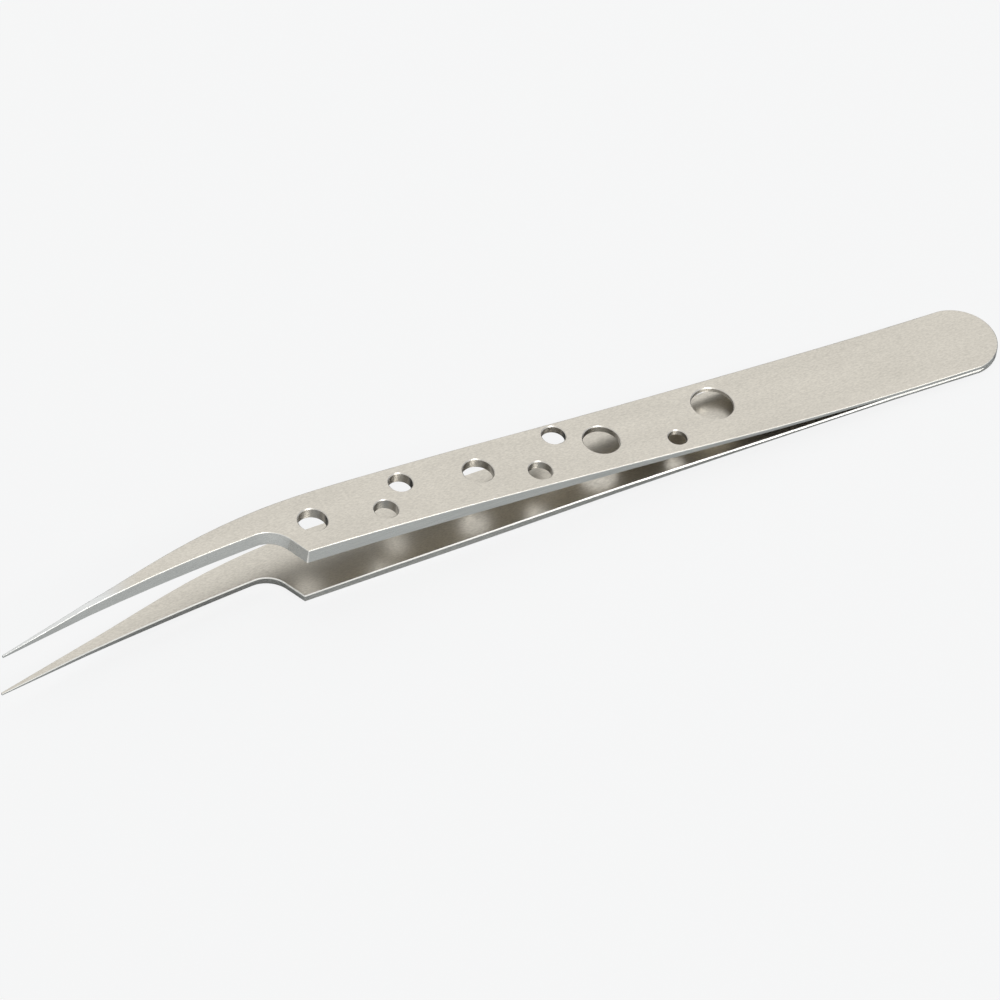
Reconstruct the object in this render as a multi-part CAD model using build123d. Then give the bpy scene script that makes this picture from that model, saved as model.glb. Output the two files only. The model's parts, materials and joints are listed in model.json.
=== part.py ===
from build123d import *
import math
import os
from typing import NamedTuple

# Fine-point tweezers: two spring arms of ground stainless steel, welded flat against each
# other at the tail. The upper arm has nine lightening holes, the lower arm has none, and
# both points bend sideways. All sizes are in millimetres.
#
# An arm is drawn in its own frame. X is the station, measured from the tail towards the
# point, Y runs towards the side that the point bends to, and Z outwards from the middle
# plane in which the two arms meet. The notch is in the near side, which is the +Y side.

# Lengths of the arm's stretches, in order from the tail to the point
weld_length = 14.6
spring_length = 13.4
waist_length = 18.0
grip_length = 36.0
neck_length = 23.0
needle_length = 10.0

# Stations at which the arm's section is given
weld_station = weld_length
spring_station = weld_station + spring_length
waist_station = spring_station + waist_length
grip_station = waist_station + grip_length / 2
notch_station = waist_station + grip_length
neck_station = notch_station + 0.6 * neck_length
needle_station = notch_station + neck_length
overall_length = needle_station + needle_length

# Widths of the inner face
tail_width = 9.0
spring_width = 8.82
grip_width = 8.2
notch_flare = 0.16

# Thickness of one arm at those stations
tail_thickness = 0.50
spring_thickness = 0.54
waist_thickness = 0.88
grip_thickness = 1.27
notch_thickness = 1.36
neck_thickness = 1.34
needle_root_thickness = 1.02

# How far the inner face stands off the middle plane
spring_rise = 0.42
waist_rise = 1.11
grip_rise = 1.82
notch_rise = 2.40
neck_rise = 2.59
jaw_rise = 2.63

# How far each ground side leans in, from the inner face's edge to the outer face's edge
tail_lean = 0.04
spring_lean = 0.05
waist_lean = 0.09
grip_lean = 0.30
notch_lean = 0.46
neck_lean = 0.42
needle_lean = 0.30

# The far edge bends sideways from the grip into the neck, along one arc
bend_lead = 5.7
bend_radius = 69.0
bend_angle = 15.6

# The notch in the near side: a straight wall, a round root, then the neck's near edge
notch_wall_length = 2.7
notch_wall_angle = 66.0
notch_radius = 2.6
neck_edge_angle = 5.0
side_grind_angle = 20.0

# The end of the needle
tip_width = 0.26
tip_thickness = 0.28
tip_lean = 0.04
tip_corner = 0.08
tip_bevel = 0.06
point_radius = 0.05

# The outer face over the weld is ground flat last
flat_length = 13.0
flat_height = tail_thickness - 0.01

# Broken edges
outer_edge_radius = 0.15
inner_edge_bevel = 0.13
hole_edge = 0.10

# How far apart the sections are that the arm's faces run through
section_spacing = 6.0


class Section(NamedTuple):
    """A cross-section of the arm, measured as it is before the notch is cut."""

    station: float
    half_width: float
    rise: float
    thickness: float
    lean: float


class Hole(NamedTuple):
    """A lightening hole, placed by its distances from the notch and the centre line."""

    from_notch: float
    offset: float
    diameter: float


tail_section = Section(weld_station, tail_width / 2, 0, tail_thickness, tail_lean)

given_sections = [
    tail_section,
    Section(spring_station, spring_width / 2, spring_rise, spring_thickness, spring_lean),
    Section(waist_station, grip_width / 2, waist_rise, waist_thickness, waist_lean),
    Section(grip_station, grip_width / 2, grip_rise, grip_thickness, grip_lean),
    Section(notch_station, grip_width / 2, notch_rise, notch_thickness, notch_lean),
    Section(neck_station, grip_width / 2, neck_rise, neck_thickness, neck_lean),
    Section(needle_station, grip_width / 2, jaw_rise, needle_root_thickness, needle_lean),
]

holes = [
    Hole(2.5, 0.05, 3.05),
    Hole(10.1, 1.30, 2.50),
    Hole(13.1, -1.55, 2.50),
    Hole(21.3, -0.30, 3.25),
    Hole(27.4, 1.75, 2.50),
    Hole(31.0, -2.35, 2.50),
    Hole(35.4, -0.10, 3.90),
    Hole(43.1, 2.20, 2.00),
    Hole(48.9, -1.00, 4.50),
]


def slopes_at(index):
    """How fast each measure of a given section changes along the arm."""
    before = given_sections[max(index - 1, 0)]
    after = given_sections[min(index + 1, len(given_sections) - 1)]
    run = after.station - before.station
    return [(high - low) / run for low, high in zip(before, after)]


def section_at(station):
    """The arm's section at any station, on a smooth curve through the given sections.

    Over the weld the inner face dips below the middle plane, which later trims it flat.
    """
    if station < weld_station:
        dip = (weld_station - station) * spring_rise / spring_length
        return tail_section._replace(station=station, rise=-dip, thickness=tail_thickness + dip)
    last = len(given_sections) - 2
    index = max(i for i in range(last + 1) if given_sections[i].station <= station)
    start = given_sections[index]
    end = given_sections[index + 1]
    run = end.station - start.station
    share = (station - start.station) / run
    ease = share * share * (3 - 2 * share)
    leave = share * (1 - share) ** 2 * run
    arrive = share * share * (share - 1) * run
    measures = [
        low + ease * (high - low) + leave * slope_low + arrive * slope_high
        for low, high, slope_low, slope_high in zip(start, end, slopes_at(index), slopes_at(index + 1))
    ]
    return Section(*measures)


def far_edge(station):
    """How far the far edge has bent towards the near side at a station of the nose."""
    turn = math.radians(bend_angle)
    run = station - (notch_station - bend_lead)
    arc_run = bend_radius * math.sin(turn)
    if run <= 0:
        return 0
    if run < arc_run:
        return bend_radius - math.sqrt(bend_radius**2 - run**2)
    return bend_radius * (1 - math.cos(turn)) + (run - arc_run) * math.tan(turn)


def section_face(section):
    """The section as a four-sided face across the arm, a little wider towards the notch."""
    past_grip = max(section.station - grip_station, 0) / (notch_station - grip_station)
    flare = notch_flare * past_grip**2
    near = section.half_width + flare
    far = far_edge(section.station) - section.half_width
    outer = section.rise + section.thickness
    return make_face(
        Polyline(
            (section.station, near, section.rise),
            (section.station, far, section.rise),
            (section.station, far + section.lean, outer),
            (section.station, near - section.lean, outer),
            close=True,
        )
    )


def make_blank():
    """The ground blank: round at the tail, flat where it is welded, and wide at the nose.

    Its faces run through even sections, from behind the tail to past the needle's root.
    """
    count = math.ceil(needle_station / section_spacing)
    spacing = needle_station / count
    stations = [spacing * step for step in range(-2, count + 2)]
    blank = loft([section_face(section_at(station)) for station in stations])
    radius = tail_width / 2
    room = 2 * tail_width
    round_tail = Pos(radius, 0, 0) * Cylinder(radius, room)
    past_tail = Pos((radius + needle_station) / 2, 0, 0) * Box(needle_station - radius, room, room)
    blank &= round_tail + past_tail
    return split(blank, Plane.XY, keep=Keep.TOP)


def make_notch_cutter():
    """What is ground off the near side of the nose, down to sides that lean in."""
    wall_angle = math.radians(notch_wall_angle)
    corner = Vector(notch_station, grip_width / 2 + notch_flare)
    along_wall = Vector(math.cos(wall_angle), -math.sin(wall_angle))
    tip_near = Vector(overall_length, far_edge(overall_length) - grip_width / 2 + tip_width)
    room = tail_width
    middle = (notch_rise + jaw_rise) / 2
    with BuildSketch(Plane.XY.offset(middle)) as outline:
        with BuildLine():
            wall = Line(corner - along_wall * room, corner + along_wall * notch_wall_length)
            root = JernArc(wall @ 1, wall % 1, notch_radius, notch_wall_angle + neck_edge_angle)
            edge = TangentArc(root @ 1, tip_near, tangent=root % 1)
            past_tip = Line(edge @ 1, edge @ 1 + (edge % 1) * room)
            clear = Vector((wall @ 0).X, (past_tip @ 1).Y + room)
            Polyline(past_tip @ 1, Vector((past_tip @ 1).X, clear.Y), clear, wall @ 0)
        make_face()
    upper = extrude(outline.sketch, middle, taper=-side_grind_angle)
    lower = extrude(outline.sketch, -middle, taper=side_grind_angle)
    return upper + lower


def broad_faces(arm):
    """The arm's outer face and its inner face."""
    inner, outer = sorted(arm.faces().sort_by(SortBy.AREA)[-2:], key=lambda face: face.bounding_box().max.Z)
    return outer, inner


def root_face(arm):
    """The flat face at the needle's root, or the end of the point once that is on."""
    return arm.faces().sort_by(Axis.X)[-1]


def without(edges, others):
    """The edges that are not among the others."""
    return [edge for edge in edges if not any(edge.is_same(other) for other in others)]


def break_edges(arm):
    """Round the outer edges, bevel the inner ones, and leave the weld and the needle's root."""
    outer, inner = broad_faces(arm)
    rims = without(arm.edges(), outer.edges() + inner.edges())
    corner = [edge for edge in rims if abs((edge @ 0.5).X - notch_station) < notch_radius / 8]
    arm = fillet(without(outer.edges(), root_face(arm).edges()) + corner, outer_edge_radius)
    inner = broad_faces(arm)[1]
    lifted = [edge for edge in inner.edges() if edge.bounding_box().max.Z > inner_edge_bevel]
    return chamfer(without(lifted, root_face(arm).edges()), inner_edge_bevel)


def add_needle(arm):
    """Carry the neck's end on to the point, with straight ground facets."""
    far = far_edge(overall_length) - grip_width / 2
    outer = jaw_rise + tip_thickness
    with BuildSketch(Plane.YZ.offset(overall_length)) as tip:
        with BuildLine():
            Polyline(
                (far, jaw_rise),
                (far + tip_width, jaw_rise),
                (far + tip_width - tip_lean, outer),
                (far + tip_lean, outer),
                close=True,
            )
        make_face()
        chamfer(tip.vertices().sort_by(Axis.Y)[:2], tip_bevel)
        fillet(tip.vertices().sort_by(Axis.Y)[-2:], tip_corner)
    arm += loft([root_face(arm), tip.sketch.face()], ruled=True)
    return fillet(root_face(arm).edges(), point_radius)


def grind_flat(arm):
    """Grind the outer face flat over the weld."""
    room = tail_width
    stone = Box(flat_length + room, 2 * room, room, align=(Align.MAX, Align.CENTER, Align.MIN))
    return arm - Pos(flat_length, 0, flat_height) * stone


def drill_holes(arm):
    """Drill the lightening holes square to the grip, and break both rims of each."""
    grip_slope = math.degrees(math.atan2(notch_rise, notch_station - weld_station))
    for hole in holes:
        station = notch_station - hole.from_notch
        section = section_at(station)
        centre = Pos(station, hole.offset, section.rise + section.thickness)
        place = centre * Rot(0, -grip_slope, 0)
        before = arm.edges()
        arm -= place * Cylinder(hole.diameter / 2, 4 * grip_thickness)
        rims = [edge for edge in without(arm.edges(), before) if edge.length > 2 * hole.diameter]
        arm = chamfer(rims, hole_edge)
    return arm


def lay_down(upper, lower):
    """Turn the welded pair until the lower arm rests on its tail and its grip."""
    keel = broad_faces(upper)[0].edges().sort_by(SortBy.LENGTH)[-1]
    samples = 200
    touches = [keel @ (step / samples) for step in range(samples + 1)]
    slope = max((point.Z - flat_height) / point.X for point in touches if point.X > weld_station)
    turn = Rot(0, -math.degrees(math.atan(slope)), 0)
    box = Compound([turn * upper, turn * lower]).bounding_box()
    rest = Pos(-box.center().X, -box.center().Y, -box.min.Z) * turn
    return rest * upper, rest * lower


plain_arm = grind_flat(add_needle(break_edges(make_blank() - make_notch_cutter())))
upper_arm, lower_arm = lay_down(drill_holes(plain_arm), mirror(plain_arm, Plane.XY))

os.makedirs("parts", exist_ok=True)
export_step(upper_arm, "parts/upper_arm.step")
export_step(lower_arm, "parts/lower_arm.step")
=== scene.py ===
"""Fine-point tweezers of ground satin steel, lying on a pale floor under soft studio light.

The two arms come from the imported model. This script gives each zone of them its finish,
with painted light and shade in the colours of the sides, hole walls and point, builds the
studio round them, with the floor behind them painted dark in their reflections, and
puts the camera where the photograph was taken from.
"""

import json
import logging
import math
from dataclasses import dataclass
from enum import Enum

import bpy
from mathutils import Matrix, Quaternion, Vector

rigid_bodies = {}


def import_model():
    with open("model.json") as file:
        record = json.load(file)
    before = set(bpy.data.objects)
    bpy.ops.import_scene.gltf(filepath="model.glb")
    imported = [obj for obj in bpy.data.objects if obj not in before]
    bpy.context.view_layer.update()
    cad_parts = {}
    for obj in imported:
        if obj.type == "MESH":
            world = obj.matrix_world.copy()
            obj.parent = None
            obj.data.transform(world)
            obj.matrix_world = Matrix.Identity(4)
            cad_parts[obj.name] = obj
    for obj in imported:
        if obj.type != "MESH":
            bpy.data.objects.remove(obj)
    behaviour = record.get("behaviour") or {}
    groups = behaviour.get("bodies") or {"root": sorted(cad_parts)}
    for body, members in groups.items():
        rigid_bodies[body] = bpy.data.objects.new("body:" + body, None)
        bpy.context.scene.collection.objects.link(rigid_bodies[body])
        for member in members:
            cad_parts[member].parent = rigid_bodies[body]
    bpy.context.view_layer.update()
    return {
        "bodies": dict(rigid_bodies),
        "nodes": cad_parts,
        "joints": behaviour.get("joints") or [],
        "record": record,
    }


log = logging.getLogger("tweezers")

MM = 0.001

Colour = tuple[float, float, float]
WHITE: Colour = (1.0, 1.0, 1.0)


class NodeKind(Enum):
    """The shader nodes that the finishes are made of."""

    BUMP = "ShaderNodeBump"
    COMBINE = "ShaderNodeCombineXYZ"
    COORDINATES = "ShaderNodeTexCoord"
    DIFFUSE = "ShaderNodeBsdfDiffuse"
    EMISSION = "ShaderNodeEmission"
    GROUP = "ShaderNodeGroup"
    GROUP_INPUT = "NodeGroupInput"
    GROUP_OUTPUT = "NodeGroupOutput"
    LIGHT_PATH = "ShaderNodeLightPath"
    MAP_RANGE = "ShaderNodeMapRange"
    MATH = "ShaderNodeMath"
    MIX = "ShaderNodeMix"
    MIX_SHADER = "ShaderNodeMixShader"
    NOISE = "ShaderNodeTexNoise"
    OUTPUT = "ShaderNodeOutputMaterial"
    PRINCIPLED = "ShaderNodeBsdfPrincipled"
    SEPARATE = "ShaderNodeSeparateXYZ"
    VECTOR_MATH = "ShaderNodeVectorMath"
    WORLD_BACKGROUND = "ShaderNodeBackground"
    WORLD_OUTPUT = "ShaderNodeOutputWorld"


class OuterSide(Enum):
    """Which way an arm's outer face looks, as the sign of its Z."""

    UP = 1.0
    DOWN = -1.0


class NodeSheet:
    """A node tree that is filled in one node at a time.

    A Mix node has sockets of the same name for each kind of value, so blend and tint pick
    them by number.
    """

    def __init__(self, tree: bpy.types.NodeTree) -> None:
        """Start on an empty tree.

        Args:
            tree: The tree to fill. Nodes that it holds are removed.
        """
        self.tree = tree
        tree.nodes.clear()

    def add(self, kind: NodeKind, inputs: dict | None = None, **settings: object) -> bpy.types.Node:
        """Add a node.

        Args:
            kind: Which node.
            inputs: Values or sockets for its inputs, by the input's name or number.
            settings: Values for the node's own properties.

        Returns:
            The new node.
        """
        node = self.tree.nodes.new(kind.value)
        for name, value in settings.items():
            setattr(node, name, value)
        for key, value in (inputs or {}).items():
            self.feed(node.inputs[key], value)
        return node

    def feed(self, socket: bpy.types.NodeSocket, value: object) -> None:
        """Link a socket to another one, or set its value.

        Args:
            socket: The input to feed.
            value: An output socket, a number, or the numbers of a colour or vector.
        """
        if isinstance(value, bpy.types.NodeSocket):
            self.tree.links.new(value, socket)
        elif isinstance(value, tuple) and len(value) < len(socket.default_value):
            socket.default_value = (*value, 1.0)
        else:
            socket.default_value = value

    def math(self, operation: str, *values: object) -> bpy.types.NodeSocket:
        """Work out a number from others.

        Args:
            operation: The name of the Math node's operation.
            values: Its inputs, in order.

        Returns:
            The result's socket.
        """
        node = self.add(NodeKind.MATH, dict(enumerate(values)), operation=operation)
        return node.outputs[0]

    def ramp(self, value: object, start: object, end: object) -> bpy.types.NodeSocket:
        """Rise smoothly from 0 to 1 while a number goes from start to end.

        Args:
            value: The number.
            start: Where the result is 0.
            end: Where the result is 1.

        Returns:
            The result's socket.
        """
        inputs = {"Value": value, "From Min": start, "From Max": end}
        node = self.add(NodeKind.MAP_RANGE, inputs, interpolation_type="SMOOTHSTEP")
        return node.outputs["Result"]

    def blend(self, share: object, first: object, second: object) -> bpy.types.NodeSocket:
        """Mix two numbers.

        Args:
            share: 0 for the first, 1 for the second.
            first: The first number.
            second: The second number.

        Returns:
            The result's socket.
        """
        node = self.add(NodeKind.MIX, data_type="FLOAT")
        self.feed(node.inputs[0], share)
        self.feed(node.inputs[2], first)
        self.feed(node.inputs[3], second)
        return node.outputs[0]

    def tint(self, share: object, first: object, second: object) -> bpy.types.NodeSocket:
        """Mix two colours.

        Args:
            share: 0 for the first, 1 for the second.
            first: The first colour.
            second: The second colour.

        Returns:
            The result's socket.
        """
        node = self.add(NodeKind.MIX, data_type="RGBA")
        self.feed(node.inputs[0], share)
        self.feed(node.inputs[6], first)
        self.feed(node.inputs[7], second)
        return node.outputs[2]


class EffectGroup:
    """A node group that several materials use, each with its own values."""

    name = "effect"
    inputs: dict[str, str] = {}
    outputs: dict[str, str] = {}

    def __init__(self) -> None:
        """Build the group's tree."""
        self.tree = bpy.data.node_groups.new(self.name, "ShaderNodeTree")
        for name, kind in self.inputs.items():
            self.tree.interface.new_socket(name, in_out="INPUT", socket_type=kind)
        for name, kind in self.outputs.items():
            self.tree.interface.new_socket(name, in_out="OUTPUT", socket_type=kind)
        sheet = NodeSheet(self.tree)
        given = sheet.add(NodeKind.GROUP_INPUT).outputs
        made = self.build(sheet, given)
        sheet.add(NodeKind.GROUP_OUTPUT, made)

    def build(self, sheet: NodeSheet, given: bpy.types.NodeOutputs) -> dict:
        """Fill the group. Each effect has its own version.

        Args:
            sheet: The group's node sheet.
            given: The sockets that bring the group's inputs.

        Returns:
            A socket for each of the group's outputs.
        """
        raise NotImplementedError

    def place(self, sheet: NodeSheet, **values: object) -> bpy.types.NodeOutputs:
        """Use the group in a material.

        Args:
            sheet: The material's node sheet.
            values: A value or socket for each input, by its name in small letters.

        Returns:
            The outputs of the placed group.
        """
        node = sheet.add(NodeKind.GROUP, node_tree=self.tree)
        for name, value in values.items():
            sheet.feed(node.inputs[name.replace("_", " ").capitalize()], value)
        return node.outputs


class Strokes(EffectGroup):
    """Fine marks of one length and width that run along the arm, as a grinding belt leaves.

    Attributes:
        fade: How strong each finer set of marks is, as a share of the one before.
    """

    name = "strokes"
    fade = 0.6
    inputs = {
        "Place": "NodeSocketVector",
        "Length": "NodeSocketFloat",
        "Width": "NodeSocketFloat",
        "Detail": "NodeSocketFloat",
    }
    outputs = {"Height": "NodeSocketFloat"}

    def build(self, sheet: NodeSheet, given: bpy.types.NodeOutputs) -> dict:
        """Stretch a noise along X.

        Args:
            sheet: The group's node sheet.
            given: The place on the arm, and the length, width and detail of a mark.

        Returns:
            The height of the marks, from 0 to 1.
        """
        size = sheet.add(NodeKind.COMBINE, {0: given["Length"], 1: given["Width"], 2: given["Width"]})
        inputs = {0: given["Place"], 1: size.outputs[0]}
        scaled = sheet.add(NodeKind.VECTOR_MATH, inputs, operation="DIVIDE")
        settings = {
            "Vector": scaled.outputs[0],
            "Scale": 1.0,
            "Detail": given["Detail"],
            "Roughness": self.fade,
        }
        return {"Height": sheet.add(NodeKind.NOISE, settings).outputs[0]}


class ArmZones(EffectGroup):
    """Which of the arm's surfaces a point is on.

    The first two limits are sizes of the normal's Z. The other two are that Z with its sign
    turned so that the arm's outer face has 1 and its inner face has -1.

    Attributes:
        flat_facing: From here on a face is a broad one.
        side_facing: Up to here a face is a side or a hole wall.
        inner_facing: Up to here a face of the point is its inner one.
        facet_facing: From here on it is one of its ground facets.
    """

    name = "arm_zones"
    flat_facing = 0.86
    side_facing = 0.62
    inner_facing = -0.7
    facet_facing = -0.4
    inputs = {
        "Place": "NodeSocketVector",
        "Facing": "NodeSocketVector",
        "Outward": "NodeSocketFloat",
        "Hole reach": "NodeSocketFloat",
        "Grip end": "NodeSocketFloat",
        "Needle start": "NodeSocketFloat",
        "Needle end": "NodeSocketFloat",
    }
    outputs = {"Side": "NodeSocketFloat", "Hole": "NodeSocketFloat", "Needle": "NodeSocketFloat"}

    def build(self, sheet: NodeSheet, given: bpy.types.NodeOutputs) -> dict:
        """Tell the zones apart by where a point is and which way its surface faces.

        Args:
            sheet: The group's node sheet.
            given: The place and facing of a point, and the zones' limits.

        Returns:
            A mask for the sides, one for the hole walls and one for the needle's outer facets.
        """
        place = sheet.add(NodeKind.SEPARATE, {0: given["Place"]}).outputs
        facing = sheet.add(NodeKind.SEPARATE, {0: given["Facing"]}).outputs
        upright = sheet.math("ABSOLUTE", facing["Z"])
        edge = sheet.ramp(upright, self.flat_facing, self.side_facing)
        off_centre = sheet.math("ABSOLUTE", place["Y"])
        inside = sheet.math("LESS_THAN", off_centre, given["Hole reach"])
        on_grip = sheet.math("LESS_THAN", place["X"], given["Grip end"])
        hole = sheet.math("MULTIPLY", edge, sheet.math("MULTIPLY", inside, on_grip))
        side = sheet.math("SUBTRACT", edge, hole)
        outward = sheet.math("MULTIPLY", facing["Z"], given["Outward"])
        outer = sheet.ramp(outward, self.inner_facing, self.facet_facing)
        pointed = sheet.ramp(place["X"], given["Needle start"], given["Needle end"])
        needle = sheet.math("MULTIPLY", outer, pointed)
        return {"Side": side, "Hole": hole, "Needle": needle}


@dataclass(frozen=True)
class Surface:
    """How one zone of the steel looks.

    Attributes:
        colour: The metal's colour.
        roughness: How far it scatters a reflection.
        depth: How deep its marks are, in metres.
    """

    colour: Colour
    roughness: float
    depth: float


@dataclass(frozen=True)
class Grain:
    """The marks that one way of working the steel leaves.

    Attributes:
        length: How long a mark is, in metres.
        width: How wide it is, in metres.
        detail: How many sets of finer marks lie in it.
    """

    length: float
    width: float
    detail: float

    def lay(self, sheet: NodeSheet, strokes: Strokes, place: bpy.types.NodeSocket) -> bpy.types.NodeSocket:
        """Lay the marks along the arm.

        Args:
            sheet: The material's node sheet.
            strokes: The group that makes grinding marks.
            place: The socket that gives the place on the arm.

        Returns:
            The socket of their height, from 0 to 1.
        """
        laid = strokes.place(sheet, place=place, length=self.length, width=self.width, detail=self.detail)
        return laid["Height"]


@dataclass(frozen=True)
class SteelFinish:
    """The finish of one arm, with painted light and shade in the colours of some of its zones.

    Attributes:
        name: The material's name.
        outer_side: Which way the arm's outer face looks.
        broad: The satin inner and outer faces.
        side: The ground sides. Their colour is lighter than the broad faces' partly as painted light,
            which brightens the side bands.
        hole: The walls of the holes. Their dark colour is painted shade inside the holes.
        needle: The polished facets of the point. Their lighter, cooler colour is a painted reflection of
            the pale room; their lower roughness is real polish.
        hole_reach: How far the holes go from the centre line, in metres.
        grip_end: The X that all the holes lie below, in metres.
        needle_start: The X where the polished facets begin, in metres.
        needle_end: The X from which they are fully polished, in metres.
        satin_grain: The marks on the broad faces.
        ground_grain: The marks on the sides and on the point.
        drilled_grain: The marks on the hole walls.
        cloud_grain: The wide, faint changes of tone.
        mark_limits: The heights at which a mark is fully dark and fully light.
        mark_tones: How dark and how light a mark is.
        mark_roughness: How much rougher a dark mark is, and smoother a light one.
        cloud_limits: The heights at which a cloud is fully dark and fully light.
        cloud_tones: How dark and how light a cloud is.
    """

    name: str
    outer_side: OuterSide
    broad: Surface = Surface((0.65, 0.615, 0.545), 0.34, 3.0e-6)
    # The sides' lighter colour is partly painted light; their grinding marks and roughness are real.
    side: Surface = Surface((0.72, 0.715, 0.68), 0.30, 5.0e-6)
    # The hole walls' dark colour is painted shade; their drilled marks are real.
    hole: Surface = Surface((0.48, 0.47, 0.45), 0.34, 2.0e-6)
    # The point's lighter, cooler colour is a painted reflection of the pale room; its lower roughness and
    # finer marks are real polish.
    needle: Surface = Surface((0.72, 0.73, 0.72), 0.26, 0.5e-6)
    hole_reach: float = 3.72 * MM
    grip_end: float = 24.0 * MM
    needle_start: float = 41.0 * MM
    needle_end: float = 46.0 * MM
    satin_grain: Grain = Grain(0.35 * MM, 0.12 * MM, 2.0)
    ground_grain: Grain = Grain(9.0 * MM, 0.11 * MM, 3.0)
    drilled_grain: Grain = Grain(0.6 * MM, 0.08 * MM, 1.0)
    cloud_grain: Grain = Grain(14.0 * MM, 3.0 * MM, 2.0)
    mark_limits: tuple[float, float] = (0.25, 0.75)
    mark_tones: tuple[float, float] = (0.87, 1.08)
    mark_roughness: float = 0.05
    cloud_limits: tuple[float, float] = (0.3, 0.7)
    cloud_tones: tuple[float, float] = (0.97, 1.03)

    def build(self, zones: ArmZones, strokes: Strokes) -> bpy.types.Material:
        """Make the material.

        Args:
            zones: The group that tells the arm's zones apart.
            strokes: The group that makes grinding marks.

        Returns:
            The material.
        """
        material = bpy.data.materials.new(self.name)
        material.use_nodes = True
        sheet = NodeSheet(material.node_tree)
        coordinates = sheet.add(NodeKind.COORDINATES).outputs
        place = coordinates["Object"]
        zone = zones.place(
            sheet,
            place=place,
            facing=coordinates["Normal"],
            outward=self.outer_side.value,
            hole_reach=self.hole_reach,
            grip_end=self.grip_end,
            needle_start=self.needle_start,
            needle_end=self.needle_end,
        )
        satin = self.satin_grain.lay(sheet, strokes, place)
        ground = self.ground_grain.lay(sheet, strokes, place)
        drilled = self.drilled_grain.lay(sheet, strokes, place)
        cloud = self.cloud_grain.lay(sheet, strokes, place)
        mark = self.by_zone(sheet, zone, satin, ground, ground, drilled)
        shade = sheet.ramp(mark, *self.mark_limits)
        drift = sheet.ramp(cloud, *self.cloud_limits)
        steel = sheet.add(
            NodeKind.PRINCIPLED,
            {
                "Base Color": self.colour_of(sheet, zone, shade, drift),
                "Metallic": 1.0,
                "Roughness": self.roughness_of(sheet, zone, shade),
                "Normal": self.relief_of(sheet, zone, mark),
            },
        )
        sheet.add(NodeKind.OUTPUT, {"Surface": steel.outputs[0]})
        return material

    def by_zone(
        self,
        sheet: NodeSheet,
        zone: bpy.types.NodeOutputs,
        broad: object,
        needle: object,
        side: object,
        hole: object,
    ) -> bpy.types.NodeSocket:
        """Pick a number by zone.

        Args:
            sheet: The material's node sheet.
            zone: The zones' masks.
            broad: The number on the broad faces.
            needle: The number on the point.
            side: The number on the sides.
            hole: The number on the hole walls.

        Returns:
            The number's socket.
        """
        plain = sheet.blend(zone["Needle"], broad, needle)
        edged = sheet.blend(zone["Side"], plain, side)
        return sheet.blend(zone["Hole"], edged, hole)

    def colour_of(
        self,
        sheet: NodeSheet,
        zone: bpy.types.NodeOutputs,
        shade: bpy.types.NodeSocket,
        drift: bpy.types.NodeSocket,
    ) -> bpy.types.NodeSocket:
        """Work out the steel's colour. The zones' colours hold painted light: a lighter side, a lighter
        and cooler point, and darker hole walls.

        Args:
            sheet: The material's node sheet.
            zone: The zones' masks.
            shade: How light the mark is, from 0 to 1.
            drift: How light the cloud is, from 0 to 1.

        Returns:
            The colour's socket.
        """
        # The point, side and hole tints are painted reflection, painted light and painted shade over the
        # satin colour.
        colour = sheet.tint(zone["Needle"], self.broad.colour, self.needle.colour)
        colour = sheet.tint(zone["Side"], colour, self.side.colour)
        colour = sheet.tint(zone["Hole"], colour, self.hole.colour)
        tone = sheet.blend(shade, *self.mark_tones)
        cloud_tone = sheet.blend(drift, *self.cloud_tones)
        factor = sheet.math("MULTIPLY", tone, cloud_tone)
        return sheet.add(NodeKind.VECTOR_MATH, {0: colour, 3: factor}, operation="SCALE").outputs[0]

    def roughness_of(
        self, sheet: NodeSheet, zone: bpy.types.NodeOutputs, shade: bpy.types.NodeSocket
    ) -> bpy.types.NodeSocket:
        """Work out how rough the steel is.

        Args:
            sheet: The material's node sheet.
            zone: The zones' masks.
            shade: How light the mark is, from 0 to 1.

        Returns:
            The roughness's socket.
        """
        surfaces = (self.broad, self.needle, self.side, self.hole)
        plain = self.by_zone(sheet, zone, *(surface.roughness for surface in surfaces))
        change = sheet.blend(shade, self.mark_roughness, -self.mark_roughness)
        return sheet.math("ADD", plain, change)

    def relief_of(
        self, sheet: NodeSheet, zone: bpy.types.NodeOutputs, mark: bpy.types.NodeSocket
    ) -> bpy.types.NodeSocket:
        """Work out the normal over the marks.

        Args:
            sheet: The material's node sheet.
            zone: The zones' masks.
            mark: How high the mark is, from 0 to 1.

        Returns:
            The normal's socket.
        """
        surfaces = (self.broad, self.needle, self.side, self.hole)
        depth = self.by_zone(sheet, zone, *(surface.depth for surface in surfaces))
        height = sheet.math("MULTIPLY", mark, sheet.math("DIVIDE", depth, MM))
        return sheet.add(NodeKind.BUMP, {"Height": height, "Distance": MM, "Strength": 1.0}).outputs[0]


@dataclass(frozen=True)
class Arm:
    """One spring arm of the tweezers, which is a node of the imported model.

    Attributes:
        node: The node's name.
        finish: What it is finished in.
    """

    node: str
    finish: SteelFinish

    def dress(self, frame: dict, zones: ArmZones, strokes: Strokes) -> None:
        """Give the arm its finish.

        Args:
            frame: The loaded frame.
            zones: The group that tells the arm's zones apart.
            strokes: The group that makes grinding marks.
        """
        part = frame["nodes"][self.node]
        material = self.finish.build(zones, strokes)
        for slot in part.material_slots:
            slot.material = material
        log.info("%s is finished in %s", self.node, material.name)


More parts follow.
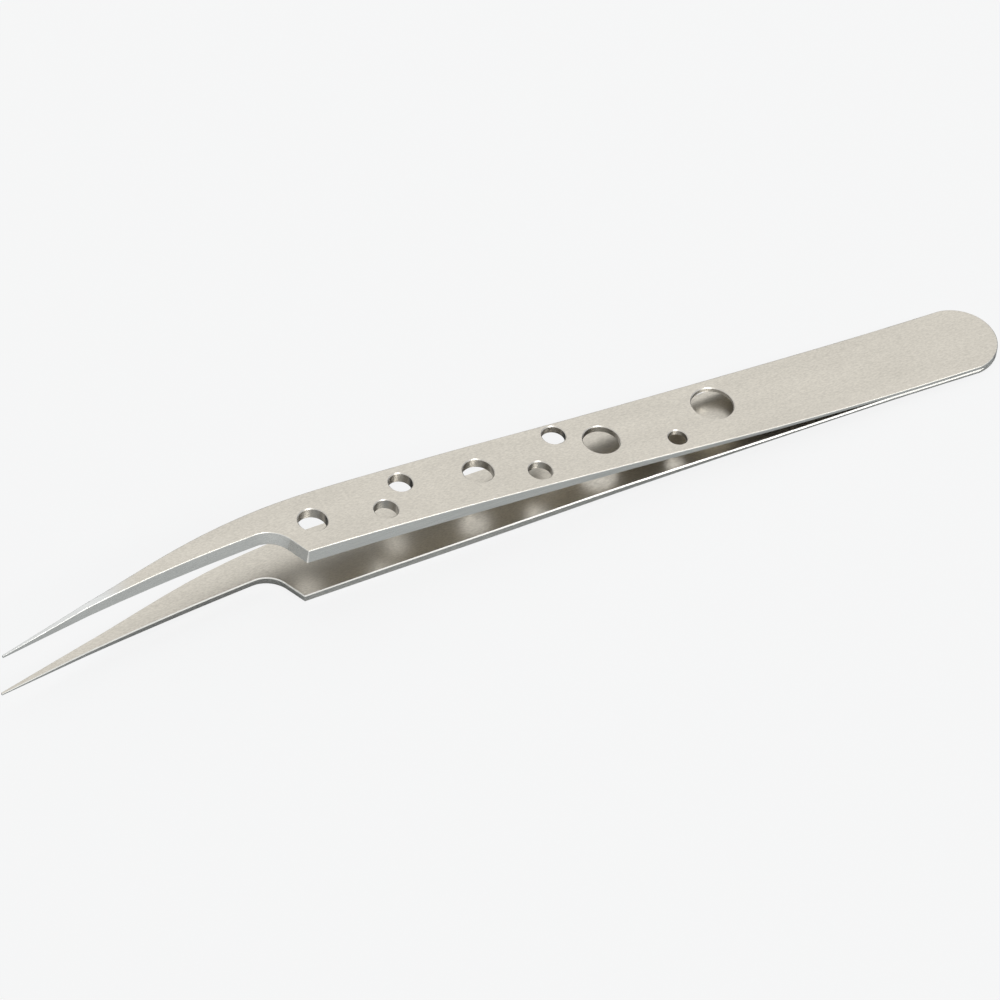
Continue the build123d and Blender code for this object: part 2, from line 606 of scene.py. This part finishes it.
@dataclass(frozen=True)
class Softbox:
    """A square soft light.

    Attributes:
        name: The light's name.
        away: Which way it lies from the object.
        distance: How far off it is, in metres.
        size: The length of its side, in metres.
        power: Its power, in watts.
        mirrored: Whether the metal shows it. Where it doesn't, the metal shows the white room.
    """

    name: str
    away: tuple[float, float, float]
    distance: float
    size: float
    power: float
    mirrored: bool

    def build(self) -> bpy.types.Object:
        """Hang the light, facing the object.

        Returns:
            The light's object.
        """
        data = bpy.data.lights.new(self.name, "AREA")
        data.size = self.size
        data.energy = self.power
        light = bpy.data.objects.new(self.name, data)
        bpy.context.scene.collection.objects.link(light)
        way = Vector(self.away).normalized()
        light.location = way * self.distance
        light.visible_glossy = self.mirrored
        light.rotation_mode = "QUATERNION"
        light.rotation_quaternion = (-way).to_track_quat("-Z", "Y")
        return light


@dataclass(frozen=True)
class Studio:
    """The floor, the light and the camera.

    Attributes:
        floor_size: The length of the floor's side, in metres.
        floor_tone: How pale the floor is.
        far_floor_shade_tone: How pale the metal sees the floor behind the object: nearly black, a painted
            shade that the arms' inner faces reflect.
        floor_blend: How far from the object's middle that change runs, in metres.
        floor_lift: How much of the floor's own white the camera sees.
        sky_tone: How bright the room is.
        sky_colour: The colour of the room's light.
        lens: The camera's focal length, in millimetres.
        camera_place: Where the camera is, in millimetres.
        camera_aim: The point that its axis meets, in millimetres.
        camera_roll: How far it is turned about its axis, in degrees.
        sensor_width: The width of the camera's sensor, in millimetres.
        sight: The nearest and farthest that the camera sees, in metres.
        lights: The soft lights.
    """

    floor_size: float = 4.0
    floor_tone: float = 0.8
    far_floor_shade_tone: float = 0.03
    floor_blend: float = 10.0 * MM
    floor_lift: float = 0.85
    sky_tone: float = 0.13
    sky_colour: Colour = (0.62, 0.86, 1.0)
    lens: float = 212.73
    camera_place: tuple[float, float, float] = (198.47, 354.94, 446.68)
    camera_aim: tuple[float, float, float] = (1.55, 1.91, 3.0)
    camera_roll: float = 3.45
    sensor_width: float = 36.0
    sight: tuple[float, float] = (0.05, 20.0)
    lights: tuple[Softbox, ...] = (
        Softbox(
            "back_panel", away=(-0.06, -0.60, 0.80), distance=1.0, size=1.2, power=5.2, mirrored=False
        ),
        Softbox(
            "front_panel", away=(-0.2, 0.7, 0.75), distance=1.2, size=0.5, power=4.5, mirrored=True
        ),
    )

    def build(self) -> None:
        """Build the whole studio."""
        self.lay_floor()
        self.light_room()
        for light in self.lights:
            light.build()
        self.place_camera()
        log.info("the studio has %d soft lights", len(self.lights))

    def lay_floor(self) -> bpy.types.Object:
        """Lay a pale floor that keeps the object's shadow. Behind the object it is nearly black to every
        ray but the camera's, a painted shade for the metal's reflections.

        Returns:
            The floor.
        """
        bpy.ops.object.select_all(action="DESELECT")
        bpy.ops.mesh.primitive_plane_add(size=self.floor_size)
        floor = bpy.context.object
        floor.name = "floor"
        material = bpy.data.materials.new("pale_floor")
        material.use_nodes = True
        sheet = NodeSheet(material.node_tree)
        path = sheet.add(NodeKind.LIGHT_PATH).outputs
        place = sheet.add(NodeKind.COORDINATES).outputs["Object"]
        depth = sheet.add(NodeKind.SEPARATE, {0: place}).outputs["Y"]
        near = sheet.ramp(depth, -self.floor_blend, self.floor_blend)
        # Behind the object every ray but the camera's sees the floor nearly black: painted shade for the
        # metal's reflections.
        tone = sheet.blend(near, self.far_floor_shade_tone, self.floor_tone)
        tone = sheet.blend(path["Is Camera Ray"], tone, self.floor_tone)
        paper = sheet.add(NodeKind.DIFFUSE, {"Color": tone})
        white = sheet.add(NodeKind.EMISSION, {"Color": WHITE, "Strength": 1.0})
        share = sheet.math("MULTIPLY", path["Is Camera Ray"], self.floor_lift)
        mixed = sheet.add(NodeKind.MIX_SHADER, {0: share, 1: paper.outputs[0], 2: white.outputs[0]})
        sheet.add(NodeKind.OUTPUT, {"Surface": mixed.outputs[0]})
        floor.data.materials.append(material)
        return floor

    def light_room(self) -> None:
        """Light the room dimly, and show it as white to the camera and in the metal."""
        world = bpy.data.worlds.new("studio_room")
        world.use_nodes = True
        sheet = NodeSheet(world.node_tree)
        path = sheet.add(NodeKind.LIGHT_PATH).outputs
        mirrored = sheet.math("MAXIMUM", path["Is Glossy Ray"], path["Is Transmission Ray"])
        seen = sheet.math("MAXIMUM", path["Is Camera Ray"], mirrored)
        strength = sheet.blend(seen, self.sky_tone, 1.0)
        colour = sheet.tint(seen, self.sky_colour, WHITE)
        room = sheet.add(NodeKind.WORLD_BACKGROUND, {"Color": colour, "Strength": strength})
        sheet.add(NodeKind.WORLD_OUTPUT, {"Surface": room.outputs[0]})
        bpy.context.scene.world = world

    def place_camera(self) -> None:
        """Put the camera where the photograph was taken from."""
        data = bpy.data.cameras.new("camera")
        data.lens = self.lens
        data.sensor_width = self.sensor_width
        data.clip_start, data.clip_end = self.sight
        camera = bpy.data.objects.new("camera", data)
        bpy.context.scene.collection.objects.link(camera)
        place = Vector(self.camera_place) * MM
        aim = Vector(self.camera_aim) * MM
        upright = (aim - place).to_track_quat("-Z", "Y")
        camera.location = place
        camera.rotation_mode = "QUATERNION"
        camera.rotation_quaternion = upright @ Quaternion((0, 0, 1), math.radians(self.camera_roll))
        bpy.context.scene.camera = camera


def main() -> None:
    """Load the frame, dress both arms and build the studio round them."""
    logging.basicConfig(level=logging.INFO, format="%(name)s: %(message)s")
    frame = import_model()
    bpy.context.scene.view_settings.view_transform = "Standard"
    zones = ArmZones()
    strokes = Strokes()
    arms = [
        Arm("upper_arm", SteelFinish("satin_steel", OuterSide.UP)),
        Arm("lower_arm", SteelFinish("satin_steel_plain", OuterSide.DOWN)),
    ]
    for arm in arms:
        arm.dress(frame, zones, strokes)
    Studio().build()


if __name__ == "__main__":
    main()
